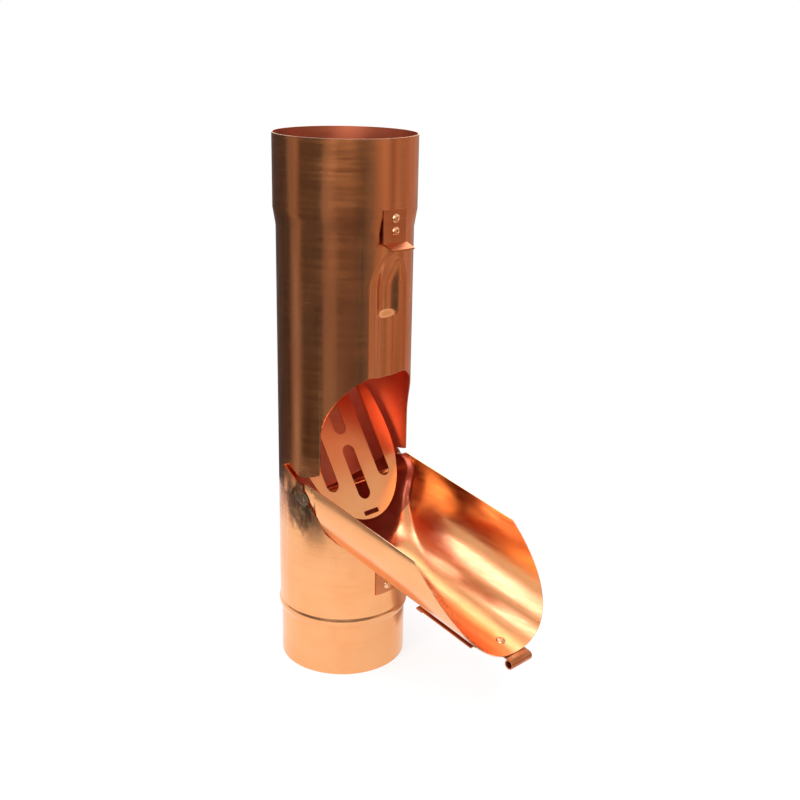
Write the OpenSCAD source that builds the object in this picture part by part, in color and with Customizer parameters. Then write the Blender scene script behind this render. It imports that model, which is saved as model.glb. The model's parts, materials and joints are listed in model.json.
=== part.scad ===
// Downpipe rainwater diverter in bare copper sheet. A hinged half-round flap in the
// pipe's front swings down and carries the rainwater out past a fixed leaf sieve.
// The origin is the centre of the spigot's lower rim, +Z runs up the pipe and the
// flap opens towards -Y. The flap is drawn open; its own pieces are laid out in the
// closed position, round the pipe's axis, and then swung open about the hinge.

/* [Pipe] */
// Height from the spigot's rim to the socket's rim
total_h = 400; // [385:1:430]
// Thickness of the copper sheet
sheet = 0.7; // [0.6:0.05:0.8]
// Outer radius of the pipe's body
body_r = 49.1; // [48.9:0.1:49.5]
// Room round the body's outer radius in the bore of the socket, which takes the pipe above
socket_room = 1.4; // [0.9:0.1:2.4]
// Depth of the socket's straight wall
socket_len = 51; // [45:1:56]
// Height of the cone between the body and the socket
cone_h = 13; // [8:0.5:15]
// How far the spigot, which enters the pipe below, is narrower than the body in radius
spigot_step = 1.1; // [0.8:0.1:1.6]
// Length of the spigot up to the bead
spigot_len = 39; // [35:0.5:42]
// Height of the rolled bead above the spigot
bead_h = 9; // [7:0.5:10]
// How far the bead stands out of the wall
bead_rise = 1.4; // [1:0.1:2]

/* [Hinge] */
// Height of the hinge axis
hinge_z = 140.8; // [139:0.2:143]
// Distance of the hinge axis in front of the pipe's axis
hinge_front = 9.5; // [9:0.1:10]
// Radius of the hinge rod
rod_r = 2; // [1.6:0.1:2.2]
// Radial running clearance of the flap on the rod
rod_clear = 0.05; // [0.02:0.01:0.09]
// Radius of the solder bead round each end of the rod
solder_r = 5; // [4:0.25:6]
// Height of the solder bead
solder_h = 0.9; // [0.6:0.1:1.2]

/* [Flap] */
// Downward slope of the open flap in degrees
flap_slope = 10.4; // [9:0.2:12]
// Gap between the closed catch and the tip of the upper plate's ledge
latch_gap = 0.7; // [0.3:0.1:1]
// Distance from the hinge to the corner where the straight edge ends
corner_len = 116.5; // [110:0.5:125]
// Angle from the flap's middle line to its straight edges
flap_wrap = 97; // [94:0.5:98]
// Gap between the closed flap and the body that it covers
cover_gap = 0.65; // [0.5:0.05:0.8]
// Gap between the flap's foot and the inside of the lower pipe
foot_gap = 1.2; // [1:0.05:1.5]
// Gap between the flap's mitred foot and the back wall when open
mitre_gap = 1.5; // [1:0.1:2.5]
// Radius about the hinge inside which the flap's side walls stay narrow
disc_r = 12.7; // [12:0.1:13]
// Length of the step from the narrow to the wide part of the side walls
step_len = 3.5; // [3.2:0.1:3.6]
// How far the step moves out and fades towards the flap's middle line
step_fade = 60; // [50:1:64]

/* [Opening] */
// Height of the opening's top on the front of the pipe
opening_top = 240; // [236:0.5:244]
// Distance of the opening's upright edges in front of the pipe's axis
opening_front = 23.2; // [22:0.2:25]
// Height at which the upright edges bend into the arch
arch_from = 190; // [180:1:200]
// Height of the end of each slit
slit_tip_z = 163.4; // [163:0.1:165]
// Distance behind the pipe's axis at which the slits end
slit_back = 7.8; // [7.5:0.1:9]
// Gap between the flap and the louvres that it slides under
louvre_gap = 0.5; // [0.4:0.05:0.7]
// Gap between the flap's step and the edge of the wall above it
slit_gap = 0.9; // [0.7:0.05:1.2]
// Gap between the open flap and the cut edge below it
edge_gap = 1; // [0.8:0.1:2]

/* [Pressed channel] */
// Half of the channel's width
channel_half = 16; // [14:0.5:17]
// Depth of the channel's flat floor under the front of the body
channel_depth = 4.3; // [3.6:0.1:5]
// Distance from the upper plate's bend down to the scoop's rounded top
scoop_below = 9; // [7:0.5:14]
// Length of the scoop, from its step to its rounded top
scoop_len = 37; // [32:1:42]
// Half of the scoop's width
scoop_half = 10.5; // [9:0.5:12]
// Depth of the scoop
scoop_depth = 7; // [6:0.25:8]

/* [Ledge plates] */
// Width of each ledge plate
plate_w = 21; // [18:0.5:24]
// Height of each plate's riveted leaf
plate_h = 24; // [22:0.5:26]
// Thickness of the plates and the strap
plate_t = 1; // [0.8:0.1:1.2]
// Gap between the open flap and the tip of the lower plate's ledge
stop_gap = 1; // [0.8:0.1:3]
// How far the ledges reach in front of the pipe's body
ledge_out = 10.9; // [9:0.1:12]
// How far a ledge leans towards its tip
ledge_lean = 3; // [2:0.25:3.5]
// Distance from the bend to the nearer rivet
rivet_first = 9.1; // [8:0.1:11]
// Distance between the two rivets of a plate
rivet_pitch = 8.8; // [8:0.1:10]

/* [Rivets] */
// Radius of a rivet's head
head_r = 3.3; // [2.8:0.1:3.8]
// Height of a rivet's head
head_h = 1.2; // [0.9:0.1:1.4]
// Radius of a rivet's shank
shank_r = 1.6; // [1.4:0.05:1.8]
// Radius of the hole that the mandrel leaves in the head
mandrel_r = 0.95; // [0.7:0.05:1.1]
// Radial clearance of the shank in its hole
hole_clear = 0.05; // [0.03:0.01:0.1]

/* [Leaf sieve] */
// Slope of the sieve in degrees
sieve_slope = 57; // [56:0.25:58]
// Height of the widest point of the sieve
sieve_z = 170.3; // [169:0.2:172]
// Distance of the sieve's widest point in front of the pipe's axis
sieve_front = 1.1; // [0.5:0.1:1.6]
// Gap between the sieve's widest point and the inside of the pipe
sieve_side_gap = 3.9; // [3.8:0.1:5]
// Length of the sieve below its widest point, along the slope
sieve_down = 60; // [57:0.5:61]
// Width of the slots
slot_w = 11.4; // [10:0.2:12.4]
// Distance between the middles of neighbouring slot columns
slot_pitch = 25.6; // [25:0.1:26]
// Height of the tab that is riveted to the back wall
tab_h = 24; // [22:0.5:28]
// Width of the tab
tab_w = 18; // [15:0.5:20]

/* [Latch strap] */
// Width of the finger grip
strap_w = 27; // [24:0.5:30]
// Width of the strap beyond the grip, and of its catch
catch_w = 20.5; // [18:0.5:23]
// Length of the flat finger grip
grip_len = 56; // [50:1:60]
// Distance from the flap's tip to the end of the flat grip
grip_back = 26; // [24:0.5:32]
// Gap for the fingers between the flap and the grip
grip_gap = 8.5; // [7:0.25:10]
// Distance from the flap's tip to the strap's rivet
strap_rivet_back = 14; // [12:0.5:16]
// Outer radius of the rolled catch at the strap's end
roll_r = 3.5; // [3:0.1:3.8]
// Distance from the flap's tip to the middle of the roll
roll_past_tip = 3.5; // [3:0.1:3.8]

/* [Hidden] */
$fn = 96;
// A hair's width, so that cuts run clear past the faces that they cut
eps = 0.01;
// Longer than any cut through the pipe needs to be
far = 160;
copper = "#b5653a";
dark_copper = "#8a4526";
pale_copper = "#d28a58";

body_in_r = body_r - sheet;
spigot_r = body_r - spigot_step;
socket_bore_r = body_r + socket_room;
socket_r = socket_bore_r + sheet;
socket_z = total_h - socket_len;
cone_z = socket_z - cone_h;
bead_top_z = spigot_len + bead_h;

// The upper plate's upper rivet ends in the cone, so that the socket's wall stays free.
tail_r = shank_r * 1.25;
tail_drop = 0.1;
upper_ledge_z = socket_z - tail_drop - tail_r - rivet_pitch - rivet_first;
ledge_reach = body_r + ledge_out;
sieve_half_w = body_in_r - sieve_side_gap;
scoop_top = upper_ledge_z - scoop_below;
scoop_from = scoop_top - scoop_len;

// The flap is as long as it takes for its catch to reach the upper plate's ledge.
flap_len = upper_ledge_z - ledge_lean - latch_gap - roll_r - roll_past_tip - hinge_z;
grip_to = flap_len - grip_back;
grip_from = grip_to - grip_len;
strap_rivet_at = flap_len - strap_rivet_back;

// The open and the closed flap's axes both pass the hinge at hinge_front.
travel = 90 + flap_slope;
axis_cross = hinge_front * tan(travel / 2);
mitre_slope = tan((90 - flap_slope) / 2);
flap_in_r = body_r + cover_gap;
flap_r = flap_in_r + sheet;
foot_r = body_in_r - foot_gap;
// Angle from the flap's middle line to the hinge holes
hinge_angle = acos(hinge_front / foot_r);
rod_end_x = sqrt(pow(body_r, 2) - pow(hinge_front, 2));

function smooth(t) = let (c = min(1, max(0, t))) c * c * (3 - 2 * c);
function bezier(a, b, c, d, t) =
    a * pow(1 - t, 3) + 3 * b * t * pow(1 - t, 2) + 3 * c * t * t * (1 - t) + d * pow(t, 3);

// The flap is narrow at its foot, to sit inside the lower pipe, and wide further up,
// to cover the upper one. Its side walls step out on an arc about the hinge, so that
// the step clears the slits at every angle. Towards the middle line the step fades.
// Lengths run from the hinge.
start_bend = 1.3;
length_bend = 1.2;
function step_start(a) = let (turn = min(abs(a), hinge_angle))
    disc_r + step_fade / 2 * pow(1 - turn / hinge_angle, start_bend);
// The step keeps its short length at this angle and beyond
step_even_angle = acos(opening_front / foot_r);
function step_length(a) =
    step_len + step_fade * pow(max(0, 1 - abs(a) / step_even_angle), length_bend);
step_above = 1.5;
step_blend = 8;
function side_step(across_w, u) =
    smooth((sqrt(u * u + across_w * across_w) - disc_r) / step_len)
    * smooth((u - step_above) / step_len) * smooth(1 + across_w / step_blend);
function flap_radius(a, u) =
    foot_r + (flap_r - foot_r) * max(smooth((u - step_start(a)) / step_length(a)),
        side_step(hinge_front - foot_r * cos(a), u));
// The foot is mitred to the pipe's back wall, with a rounded corner at each side.
corner_angle = 75;
corner_round = 10;
function foot_line(a) = let (turn = abs(a))
    mitre_gap - axis_cross - mitre_slope * foot_r * cos(turn)
    + corner_round * pow(max(0, turn - corner_angle) / (flap_wrap - corner_angle), 2);
// The lower plate lies under the open flap, measured at the ledge's tip. There the flap
// is still close to its foot's radius.
ledge_under_z = hinge_z + axis_cross - ledge_reach * tan(flap_slope);
ledge_u = (ledge_reach - hinge_front) * cos(flap_slope)
    + (hinge_z - ledge_under_z + foot_r / cos(flap_slope)) * sin(flap_slope);
lower_ledge_z = ledge_under_z - flap_radius(0, ledge_u) / cos(flap_slope) - ledge_lean - stop_gap;
// How fully the tip's outline rounds out before it falls to the corners
tip_fullness = 2.05;
function tip_line(a) = let (share = abs(a) / flap_wrap)
    flap_len - (flap_len - corner_len) * pow(share, 3) * (tip_fullness - (tip_fullness - 1) * share);

// Where the step begins and ends along the flap at one angle
function mix(p, q, share) = p + (q - p) * share;
function arc_at(radius, across_w) = sqrt(max(0, radius * radius - across_w * across_w));
function step_from(a) = let (w = hinge_front - foot_r * cos(a))
    max(step_above, mix(arc_at(disc_r, w), step_start(a), smooth(-w / step_blend)));
function step_to(a) = let (w = hinge_front - foot_r * cos(a))
    max(step_above + step_len, mix(arc_at(disc_r + step_len, w), step_start(a) + step_length(a),
        smooth(-w / step_blend)));

// Stations along the flap at one angle: foot, the close ones on the step, tip
step_shares = [0 : 0.2 : 0.8];
tip_shares = [0, 0.1, 0.24, 0.42, 0.6, 0.8, 1];
function stations(a) = let (f = foot_line(a), s = max(f + 1, step_from(a)), e = max(s + 1, step_to(a)))
    concat([for (g = [0 : 2]) mix(f, s, g / 3)], [for (g = step_shares) mix(s, e, g)],
        [for (g = tip_shares) mix(e, tip_line(a), g)]);
flap_columns = 64;
flap_rows = len(stations(0));
// The columns stand closer together towards the straight edges.
edge_crowd = 0.25;
flap_angles = [for (i = [0 : flap_columns]) let (t = 2 * i / flap_columns - 1)
    flap_wrap * t * (1 + edge_crowd - edge_crowd * abs(t))];

// Grid points of one face of the flap, offset inwards from its outer face
function flap_face(inset) = [for (a = flap_angles) for (u = stations(a))
    let (r = flap_radius(a, u) - inset) [r * sin(a), -r * cos(a), hinge_z + u]];

// Two triangles per grid cell between neighbouring columns and rows
function cell(p, q, r, s) = [[p, q, r], [p, r, s]];

module flap_shell() {
    half = (flap_columns + 1) * flap_rows;
    last = flap_columns * flap_rows;
    outer = [for (i = [0 : flap_columns - 1]) for (j = [0 : flap_rows - 2])
        let (k = i * flap_rows + j) for (t = cell(k, k + 1, k + flap_rows + 1, k + flap_rows)) t];
    inner = [for (t = outer) [t[0] + half, t[2] + half, t[1] + half]];
    foot = [for (i = [0 : flap_columns - 1]) let (k = i * flap_rows)
        for (t = cell(k, k + flap_rows, k + flap_rows + half, k + half)) t];
    tip = [for (i = [0 : flap_columns - 1]) let (k = i * flap_rows + flap_rows - 1)
        for (t = cell(k, k + half, k + flap_rows + half, k + flap_rows)) t];
    edges = [for (j = [0 : flap_rows - 2])
        for (t = concat(cell(j, j + half, j + 1 + half, j + 1),
            cell(last + j, last + j + 1, last + j + 1 + half, last + j + half))) t];
    polyhedron(points = concat(flap_face(0), flap_face(sheet)),
        faces = concat(outer, inner, foot, tip, edges), convexity = 6);
}

// Swings pieces that are laid out closed, about the hinge, to the open position
module swung_open() {
    translate([0, -hinge_front, hinge_z])
        rotate([travel, 0, 0])
            translate([0, hinge_front, -hinge_z])
                children();
}

// Side view outline (y, z) drawn out along X, centred on the pipe
module across(width) {
    rotate([90, 0, 90])
        linear_extrude(height = width, center = true)
            children();
}

// Hole or shank along Y, from one depth to another
module along_y(r, y_from, y_to, z) {
    translate([0, y_from, z])
        rotate([-90, 0, 0])
            cylinder(r = r, h = y_to - y_from, $fn = 48);
}

// Radius of the pipe's outer wall at each height, as a half section
bead_steps = 12;
outer_wall = concat(
    [[spigot_r, 0]],
    [for (i = [0 : bead_steps]) let (t = i / bead_steps)
        [spigot_r + (body_r - spigot_r) * t + bead_rise * sin(180 * t), spigot_len + bead_h * t]],
    [[body_r, cone_z], [socket_r, socket_z], [socket_r, total_h]]);

module pipe_wall() {
    inner = [for (i = [len(outer_wall) - 1 : -1 : 0]) outer_wall[i] - [sheet, 0]];
    rotate_extrude($fn = 128)
        polygon(concat(outer_wall, inner));
}

// Space that the press tool fills: a flat-floored groove and a deeper rounded scoop
groove_run = 40;
module channel_tool(grow) {
    floor_y = -body_r + channel_depth + grow;
    groove_top = scoop_from + channel_half / 2;
    half = channel_half + grow;
    translate([-half, floor_y - far, opening_top - groove_run])
        cube([2 * half, far, groove_top - opening_top + groove_run]);
    along_y(half, floor_y - far, floor_y, groove_top);
    scoop_r = (pow(scoop_half, 2) + pow(scoop_depth, 2)) / (2 * scoop_depth) + grow;
    scoop_y = -body_r + scoop_depth + grow - scoop_r;
    scoop_end = scoop_top - scoop_half;
    translate([0, scoop_y, scoop_from - grow])
        cylinder(r = scoop_r, h = scoop_end - scoop_from + grow);
    translate([0, scoop_y, scoop_end])
        sphere(r = scoop_r);
}

slit_fall = 0.45;
slit_bend = 0.0085;
// Height of the slit's lower edge, which runs up and back from the opening
function slit_line(y) = let (d = slit_back - y) slit_tip_z - slit_fall * d - slit_bend * d * d;
// Height of the wall above the slit, clear of the step that swings past it
function wall_angle(y) = acos(-y / foot_r);
function slit_high(y) = let (reach = disc_r + step_len + slit_gap)
    y < -hinge_front ? hinge_z + step_start(wall_angle(y)) + step_len + slit_gap
    : hinge_z + sqrt(max(0, pow(reach, 2) - pow(y + hinge_front, 2)));
// Height of the cut edge that clears the open flap where it leaves the lower pipe
wall_gap = 0.3;
leave_front = sqrt(pow(body_in_r, 2) - pow(foot_r + wall_gap, 2));
function edge_under(y, r) =
    hinge_z + axis_cross + y * tan(flap_slope)
    - sqrt(max(0, pow(y, 2) + pow(r, 2) - pow(body_in_r, 2))) / cos(flap_slope) - edge_gap;
function flap_edge_clear(y) = let (
        a = asin(min(1, sqrt(max(0, pow(body_in_r, 2) - pow(y, 2))) / foot_r)),
        z = edge_under(y, foot_r + wall_gap),
        u = (-y - hinge_front) * cos(flap_slope) + (hinge_z - z) * sin(flap_slope))
    edge_under(y, flap_radius(a, u) + wall_gap);
// Where the slit turns from a gap in the wall into a louvre
louvre_front = -5;
louvre_reach = 6;
// How far the louvre's lower edge lies above the hinge axis
louvre_foot = 1.2;

// How far the opening's outline runs out in front of the pipe
cut_out = 20;
// How far the cut edge's ends step past the place where the flap leaves the lower pipe
edge_start = 0.1;
module opening_outline() {
    front = -body_r - cut_out;
    arch_end = [-body_r - 1, opening_top];
    arch_start = [-opening_front, arch_from];
    rise = opening_top - arch_from;
    arch_pull_top = [-0.75 * body_r, opening_top - 0.27 * rise];
    arch_pull_side = [-opening_front, arch_from + 0.36 * rise];
    arch = [for (i = [0 : 12]) bezier(arch_end, arch_pull_top, arch_pull_side, arch_start, i / 12)];
    high = [for (i = [0 : 8]) let (y = -opening_front + (louvre_front + opening_front) * i / 8)
        [y, slit_high(y)]];
    low_end = -leave_front + 2 * edge_start;
    low = [for (i = [0 : 3]) let (y = louvre_front + (low_end - louvre_front) * i / 3)
        [y, slit_line(y)]];
    edge_steps = 18;
    edge = [for (i = [0 : edge_steps])
        let (y = -leave_front - edge_start + (front + leave_front) * i / edge_steps)
        [y, flap_edge_clear(y)]];
    polygon(concat([[front, opening_top + 1]], arch, high, low, edge));
}

// A louvre is pressed out of the lower wall behind each end of the slit, so that the
// closed flap's wide side wall slips in between it and the wall above.
louvre_in_r = flap_r + louvre_gap;
module louvre_outline(grow, top_shift) {
    back = slit_back + grow;
    front = louvre_front - louvre_reach;
    foot_z = hinge_z + louvre_foot - grow;
    line = [for (i = [0 : 6]) let (y = back + (front - back) * i / 6)
        [y, slit_line(y) + top_shift]];
    difference() {
        polygon(concat(line, [[front, foot_z], [back, foot_z]]));
        translate([-hinge_front, hinge_z])
            circle(r = disc_r - louvre_gap - grow);
    }
}
// Tube wall between two radii, tall enough to hold a louvre
ring_h = 2 * (slit_tip_z - hinge_z + louvre_reach);
module ring(r_in, r_out) {
    translate([0, 0, hinge_z])
        difference() {
            cylinder(r = r_out, h = ring_h, center = true, $fn = 128);
            cylinder(r = r_in, h = ring_h + 1, center = true, $fn = 128);
        }
}
// The louvre's raised face, and the rim that joins it to the wall
module louvres() {
    intersection() {
        across(far)
            louvre_outline(sheet, 0);
        ring(louvre_in_r, louvre_in_r + sheet);
    }
    intersection() {
        across(far)
            difference() {
                louvre_outline(sheet, 0);
                louvre_outline(0, 10);
            }
        ring(body_r - sheet / 2, louvre_in_r + sheet / 2);
    }
}
// The wall above the slit laps down inside the louvre, but not into the step's way
louvre_lap = 1.5;
module louvre_cut() {
    intersection() {
        across(far) {
            louvre_outline(0, -louvre_lap);
            intersection() {
                louvre_outline(0, slit_gap);
                translate([-hinge_front, hinge_z])
                    circle(r = disc_r + step_len + slit_gap);
            }
        }
        ring(body_in_r - 1, louvre_in_r);
    }
}

// Height of a plate's rivets, counted from its bend in the given direction
function rivet_z(bend_z, side, i) = bend_z + side * (rivet_first + rivet_pitch * i);
tab_foot_z = sieve_z + (body_in_r - sheet + sieve_front) * tan(sieve_slope);
tab_rivet_pitch = 10;
tab_rivets = [for (side = [-1, 1]) tab_foot_z + tab_h / 2 + side * tab_rivet_pitch / 2];

module pipe() {
    color(copper)
        difference() {
            union() {
                difference() {
                    union() {
                        pipe_wall();
                        intersection() {
                            channel_tool(sheet);
                            translate([0, 0, bead_top_z])
                                cylinder(r = body_r, h = cone_z - bead_top_z, $fn = 128);
                        }
                    }
                    channel_tool(0);
                    louvre_cut();
                    across(far)
                        opening_outline();
                }
                louvres();
            }
            translate([-far / 2, -hinge_front, hinge_z])
                rotate([0, 90, 0])
                    cylinder(r = rod_r, h = far, $fn = 48);
            for (i = [0, 1]) {
                along_y(shank_r + hole_clear, -far / 2, 0, rivet_z(upper_ledge_z, 1, i));
                along_y(shank_r + hole_clear, -far / 2, 0, rivet_z(lower_ledge_z, -1, i));
                along_y(shank_r + hole_clear, 0, far / 2, tab_rivets[i]);
            }
        }
}

module hinge_rod() {
    color(pale_copper)
        translate([-rod_end_x - solder_h / 2, -hinge_front, hinge_z])
            rotate([0, 90, 0])
                cylinder(r = rod_r, h = 2 * rod_end_x + solder_h, $fn = 48);
}

// Low cones of solder that seat on the pipe's round wall about the rod's ends
module hinge_solder() {
    sunk = 1;
    turn = asin(hinge_front / body_r);
    color("#8c8266")
        for (side = [0, 1])
            mirror([side, 0, 0])
                difference() {
                    rotate([0, 0, -turn])
                        translate([body_r - sunk, 0, hinge_z])
                            rotate([0, 90, 0])
                                cylinder(r1 = solder_r + sunk, r2 = rod_r + 1, h = sunk + solder_h, $fn = 64);
                    translate([0, 0, hinge_z - far / 2])
                        cylinder(r = body_r, h = far, $fn = 360);
                    translate([0, -hinge_front, hinge_z])
                        rotate([0, 90, 0])
                            cylinder(r = rod_r, h = rod_end_x + solder_h / 2, $fn = 48);
                }
}

module flap() {
    color(copper)
        swung_open()
            difference() {
                flap_shell();
                translate([-far / 2, -hinge_front, hinge_z])
                    rotate([0, 90, 0])
                        cylinder(r = rod_r + rod_clear, h = far, $fn = 48);
                along_y(shank_r + hole_clear, -far / 2, 0, hinge_z + strap_rivet_at);
            }
}

// Room that a rivet has in its stack where that is curved
tail_play = 0.2;
// A blind rivet along +Y with its head's underside at the origin and its tail behind
// a stack of the given thickness. The head faces -Y.
module blind_rivet(stack) {
    tail_from = stack + 0.15;
    tail_to = tail_from + 2.4;
    tail_taper = 0.6;
    dome = [for (i = [0 : 6]) let (a = 90 * i / 6)
        [mandrel_r + (head_r - mandrel_r) * sin(a), -head_h * cos(a)]];
    rotate([-90, 0, 0])
        rotate_extrude($fn = 48)
            polygon(concat(dome, [[head_r, 0], [shank_r, 0], [shank_r, tail_from],
                [tail_r, tail_from + tail_taper], [tail_r, tail_to - tail_taper],
                [shank_r, tail_to], [0, tail_to], [0, head_h], [mandrel_r, head_h]]));
}

// Riveted leaf that follows the round wall it seats on, with a ledge bent outwards.
// The leaf stands above the bend at z = 0 and the ledge leans down.
module ledge_plate(seat_r) {
    leaf_r = seat_r + plate_t;
    difference() {
        union() {
            intersection() {
                difference() {
                    cylinder(r = leaf_r, h = plate_h, $fn = 128);
                    translate([0, 0, -eps])
                        cylinder(r = seat_r, h = plate_h + 2 * eps, $fn = 128);
                }
                translate([-plate_w / 2, -far / 2, 0])
                    cube([plate_w, far / 2, plate_h]);
            }
            difference() {
                across(plate_w)
                    polygon([[-seat_r + 2, 0], [-seat_r + 2, plate_t], [-leaf_r, plate_t],
                        [-ledge_reach, plate_t - ledge_lean], [-ledge_reach, -ledge_lean],
                        [-leaf_r, 0]]);
                translate([0, 0, -far / 2])
                    cylinder(r = seat_r, h = far, $fn = 128);
            }
        }
        for (i = [0, 1])
            along_y(shank_r + hole_clear, -far / 2, 0, rivet_z(0, 1, i));
    }
}

module upper_latch_plate() {
    color(copper)
        translate([0, 0, upper_ledge_z])
            ledge_plate(socket_r);
}

module lower_stop_plate() {
    color(copper)
        translate([0, 0, lower_ledge_z])
            mirror([0, 0, 1])
                ledge_plate(body_r);
}

// Inner radius of the pipe's wall at one height on the body, the cone or the socket
function wall_in_r(z) =
    body_in_r + (socket_r - body_r) * min(1, max(0, (z - cone_z) / cone_h));

module upper_latch_rivets() {
    color(pale_copper)
        for (z = [for (i = [0, 1]) rivet_z(upper_ledge_z, 1, i)])
            translate([0, -socket_r - plate_t, z])
                blind_rivet(plate_t + socket_r - wall_in_r(z - tail_r));
}

module lower_stop_rivets() {
    color(pale_copper)
        for (i = [0, 1])
            translate([0, -body_r - plate_t, rivet_z(lower_ledge_z, -1, i)])
                blind_rivet(plate_t + sheet);
}

// One round-ended slot, given by where its ends lie down the slope
module sieve_slot(x, from, to) {
    r = slot_w / 2;
    translate([x - r, -to + r])
        square([slot_w, to - from - 2 * r]);
    for (s = [from + r, to - r])
        translate([x, -s])
            circle(r = r, $fn = 48);
}

// Flat outline: half an ellipse below the widest point and a longer half above it,
// which runs up to the pipe's back wall. Down the slope is -Y here.
tab_seat = 4;
module sieve_outline() {
    up = (body_in_r - sheet + sieve_front) / cos(sieve_slope) - tab_seat;
    rim = [for (i = [0 : 59]) let (a = 6 * i, reach = sin(a) > 0 ? up : sieve_down)
        [sieve_half_w * cos(a), reach * sin(a)]];
    polygon(rim);
}

// Each slot as its column and its two ends, counted down the slope
sieve_slots = [[-1, -46, 32.5], [1, -46, 32.5], [0, -60, -7.2], [0, 1.6, 44.7]];
lip_w = 14;
lip_h = 3.5;
lip_from = 53.3;

// The tab bends up from the sieve's top, with its foot let into the sieve's end
tab_bend = 8;
tab_lean = 0.6;
tab_lift = 1.2;
module sieve_tab() {
    low_y = body_in_r - tab_bend;
    low_z = tab_foot_z - tab_bend * tan(sieve_slope) + tab_lift;
    face_y = body_in_r - sheet - tab_lean;
    face_z = tab_foot_z + 2 * tab_lift;
    tab_top = tab_foot_z + tab_h;
    intersection() {
        across(tab_w)
            polygon([[low_y, low_z], [low_y, low_z + sheet / cos(sieve_slope)],
                [face_y, face_z + sheet], [face_y, tab_top],
                [body_in_r + 1, tab_top], [body_in_r + 1, face_z]]);
        translate([0, 0, hinge_z])
            cylinder(r = body_in_r, h = far, $fn = 128);
    }
}

module leaf_sieve() {
    color(pale_copper)
        difference() {
            union() {
                translate([0, -sieve_front, sieve_z])
                    rotate([sieve_slope, 0, 0])
                        linear_extrude(height = sheet)
                            difference() {
                                sieve_outline();
                                for (s = sieve_slots)
                                    sieve_slot(s[0] * slot_pitch, s[1], s[2]);
                                translate([-lip_w / 2, -lip_from - lip_h])
                                    square([lip_w, lip_h]);
                            }
                sieve_tab();
            }
            for (z = tab_rivets)
                along_y(shank_r + hole_clear, 0, far / 2, z);
        }
}

module sieve_rivets() {
    color(pale_copper)
        for (z = tab_rivets)
            translate([0, body_r, z])
                mirror([0, 1, 0])
                    blind_rivet(2 * sheet + tab_lean + tail_play);
}

// Side view of the strap, laid out closed: finger grip, ramp, seat on the flap, roll
strap_seat_y = -flap_r - 0.05;
grip_y = -flap_r - grip_gap;
roll_z = hinge_z + flap_len + roll_past_tip;
roll_y = strap_seat_y - roll_r;
hem = 6;
// Distance between the rivet's head and the foot of the ramp
ramp_room = 1;

module latch_strap() {
    grip_foot = hinge_z + grip_from;
    grip_top = hinge_z + grip_to;
    ramp_top = hinge_z + strap_rivet_at - head_r - ramp_room;
    seat_out_y = strap_seat_y - plate_t;
    grip_out_y = grip_y - plate_t;
    hem_y = grip_out_y - plate_t;
    color(dark_copper)
        swung_open()
            difference() {
                union() {
                    across(strap_w)
                        polygon([[grip_y, grip_foot], [grip_y, grip_top], [grip_out_y, grip_top],
                            [grip_out_y, grip_foot + hem], [hem_y, grip_foot + hem],
                            [hem_y, grip_foot]]);
                    across(catch_w)
                        polygon([[grip_y, grip_top - 1], [grip_y, grip_top], [strap_seat_y, ramp_top],
                            [strap_seat_y, roll_z], [seat_out_y, roll_z], [seat_out_y, ramp_top],
                            [grip_out_y, grip_top], [grip_out_y, grip_top - 1]]);
                    translate([-catch_w / 2, roll_y, roll_z])
                        rotate([0, 90, 0])
                            cylinder(r = roll_r, h = catch_w, $fn = 64);
                }
                translate([-far / 2, roll_y, roll_z])
                    rotate([0, 90, 0])
                        cylinder(r = roll_r - plate_t, h = far, $fn = 64);
                along_y(shank_r + hole_clear, -far / 2, 0, hinge_z + strap_rivet_at);
            }
}

// The strap's rivet has its head inside the flap, in the channel when closed. The head
// stands on the flap's curve, clear of its middle.
head_rise = 0.12;
module strap_rivet() {
    color(pale_copper)
        swung_open()
            translate([0, -flap_in_r + head_rise, hinge_z + strap_rivet_at])
                mirror([0, 1, 0])
                    blind_rivet(sheet + plate_t + tail_play);
}

pipe();
hinge_rod();
hinge_solder();
leaf_sieve();
sieve_rivets();
upper_latch_plate();
upper_latch_rivets();
lower_stop_plate();
lower_stop_rivets();
flap();
latch_strap();
strap_rivet();
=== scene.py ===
"""Downpipe rainwater diverter in bare copper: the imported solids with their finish, and finer
pieces drawn over the pipe, the flap, the latch strap, the rivets and the solder."""

import json
import math

import bmesh
import bpy
from mathutils import Matrix, Vector, noise


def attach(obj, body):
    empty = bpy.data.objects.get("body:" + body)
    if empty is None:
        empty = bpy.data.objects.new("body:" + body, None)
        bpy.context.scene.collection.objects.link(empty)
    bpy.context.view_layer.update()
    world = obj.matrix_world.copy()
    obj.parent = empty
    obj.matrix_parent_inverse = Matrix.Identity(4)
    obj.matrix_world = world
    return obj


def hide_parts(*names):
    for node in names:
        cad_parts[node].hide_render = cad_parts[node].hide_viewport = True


MM = 0.001

# Sizes that the finer pieces share with the solids, in millimetres and degrees.
SHEET = 0.7
BODY_R = 49.1
BODY_IN_R = BODY_R - SHEET
SOCKET_R = 51.2
PLATE_T = 1.0

# The hinge, and the flap as it lies shut along the pipe.
HINGE_Z = 140.8
HINGE_FRONT = 9.5
ROD_R = 2.0
ROD_PLAY = 0.05
DRILL_LEN = 140.0
FLAP_SLOPE = 10.4
TRAVEL = 90 + FLAP_SLOPE
FLAP_LEN = 177.5
CORNER_LEN = 116.5
FLAP_WRAP = 97.0
FLAP_IN_R = BODY_R + 0.65
FLAP_R = FLAP_IN_R + SHEET
FOOT_R = BODY_IN_R - 1.2
MITRE_GAP = 1.5
FOOT_CORNER_FROM = 75.0
FOOT_CORNER_RISE = 10.0
TIP_BOW = 2.05

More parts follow.
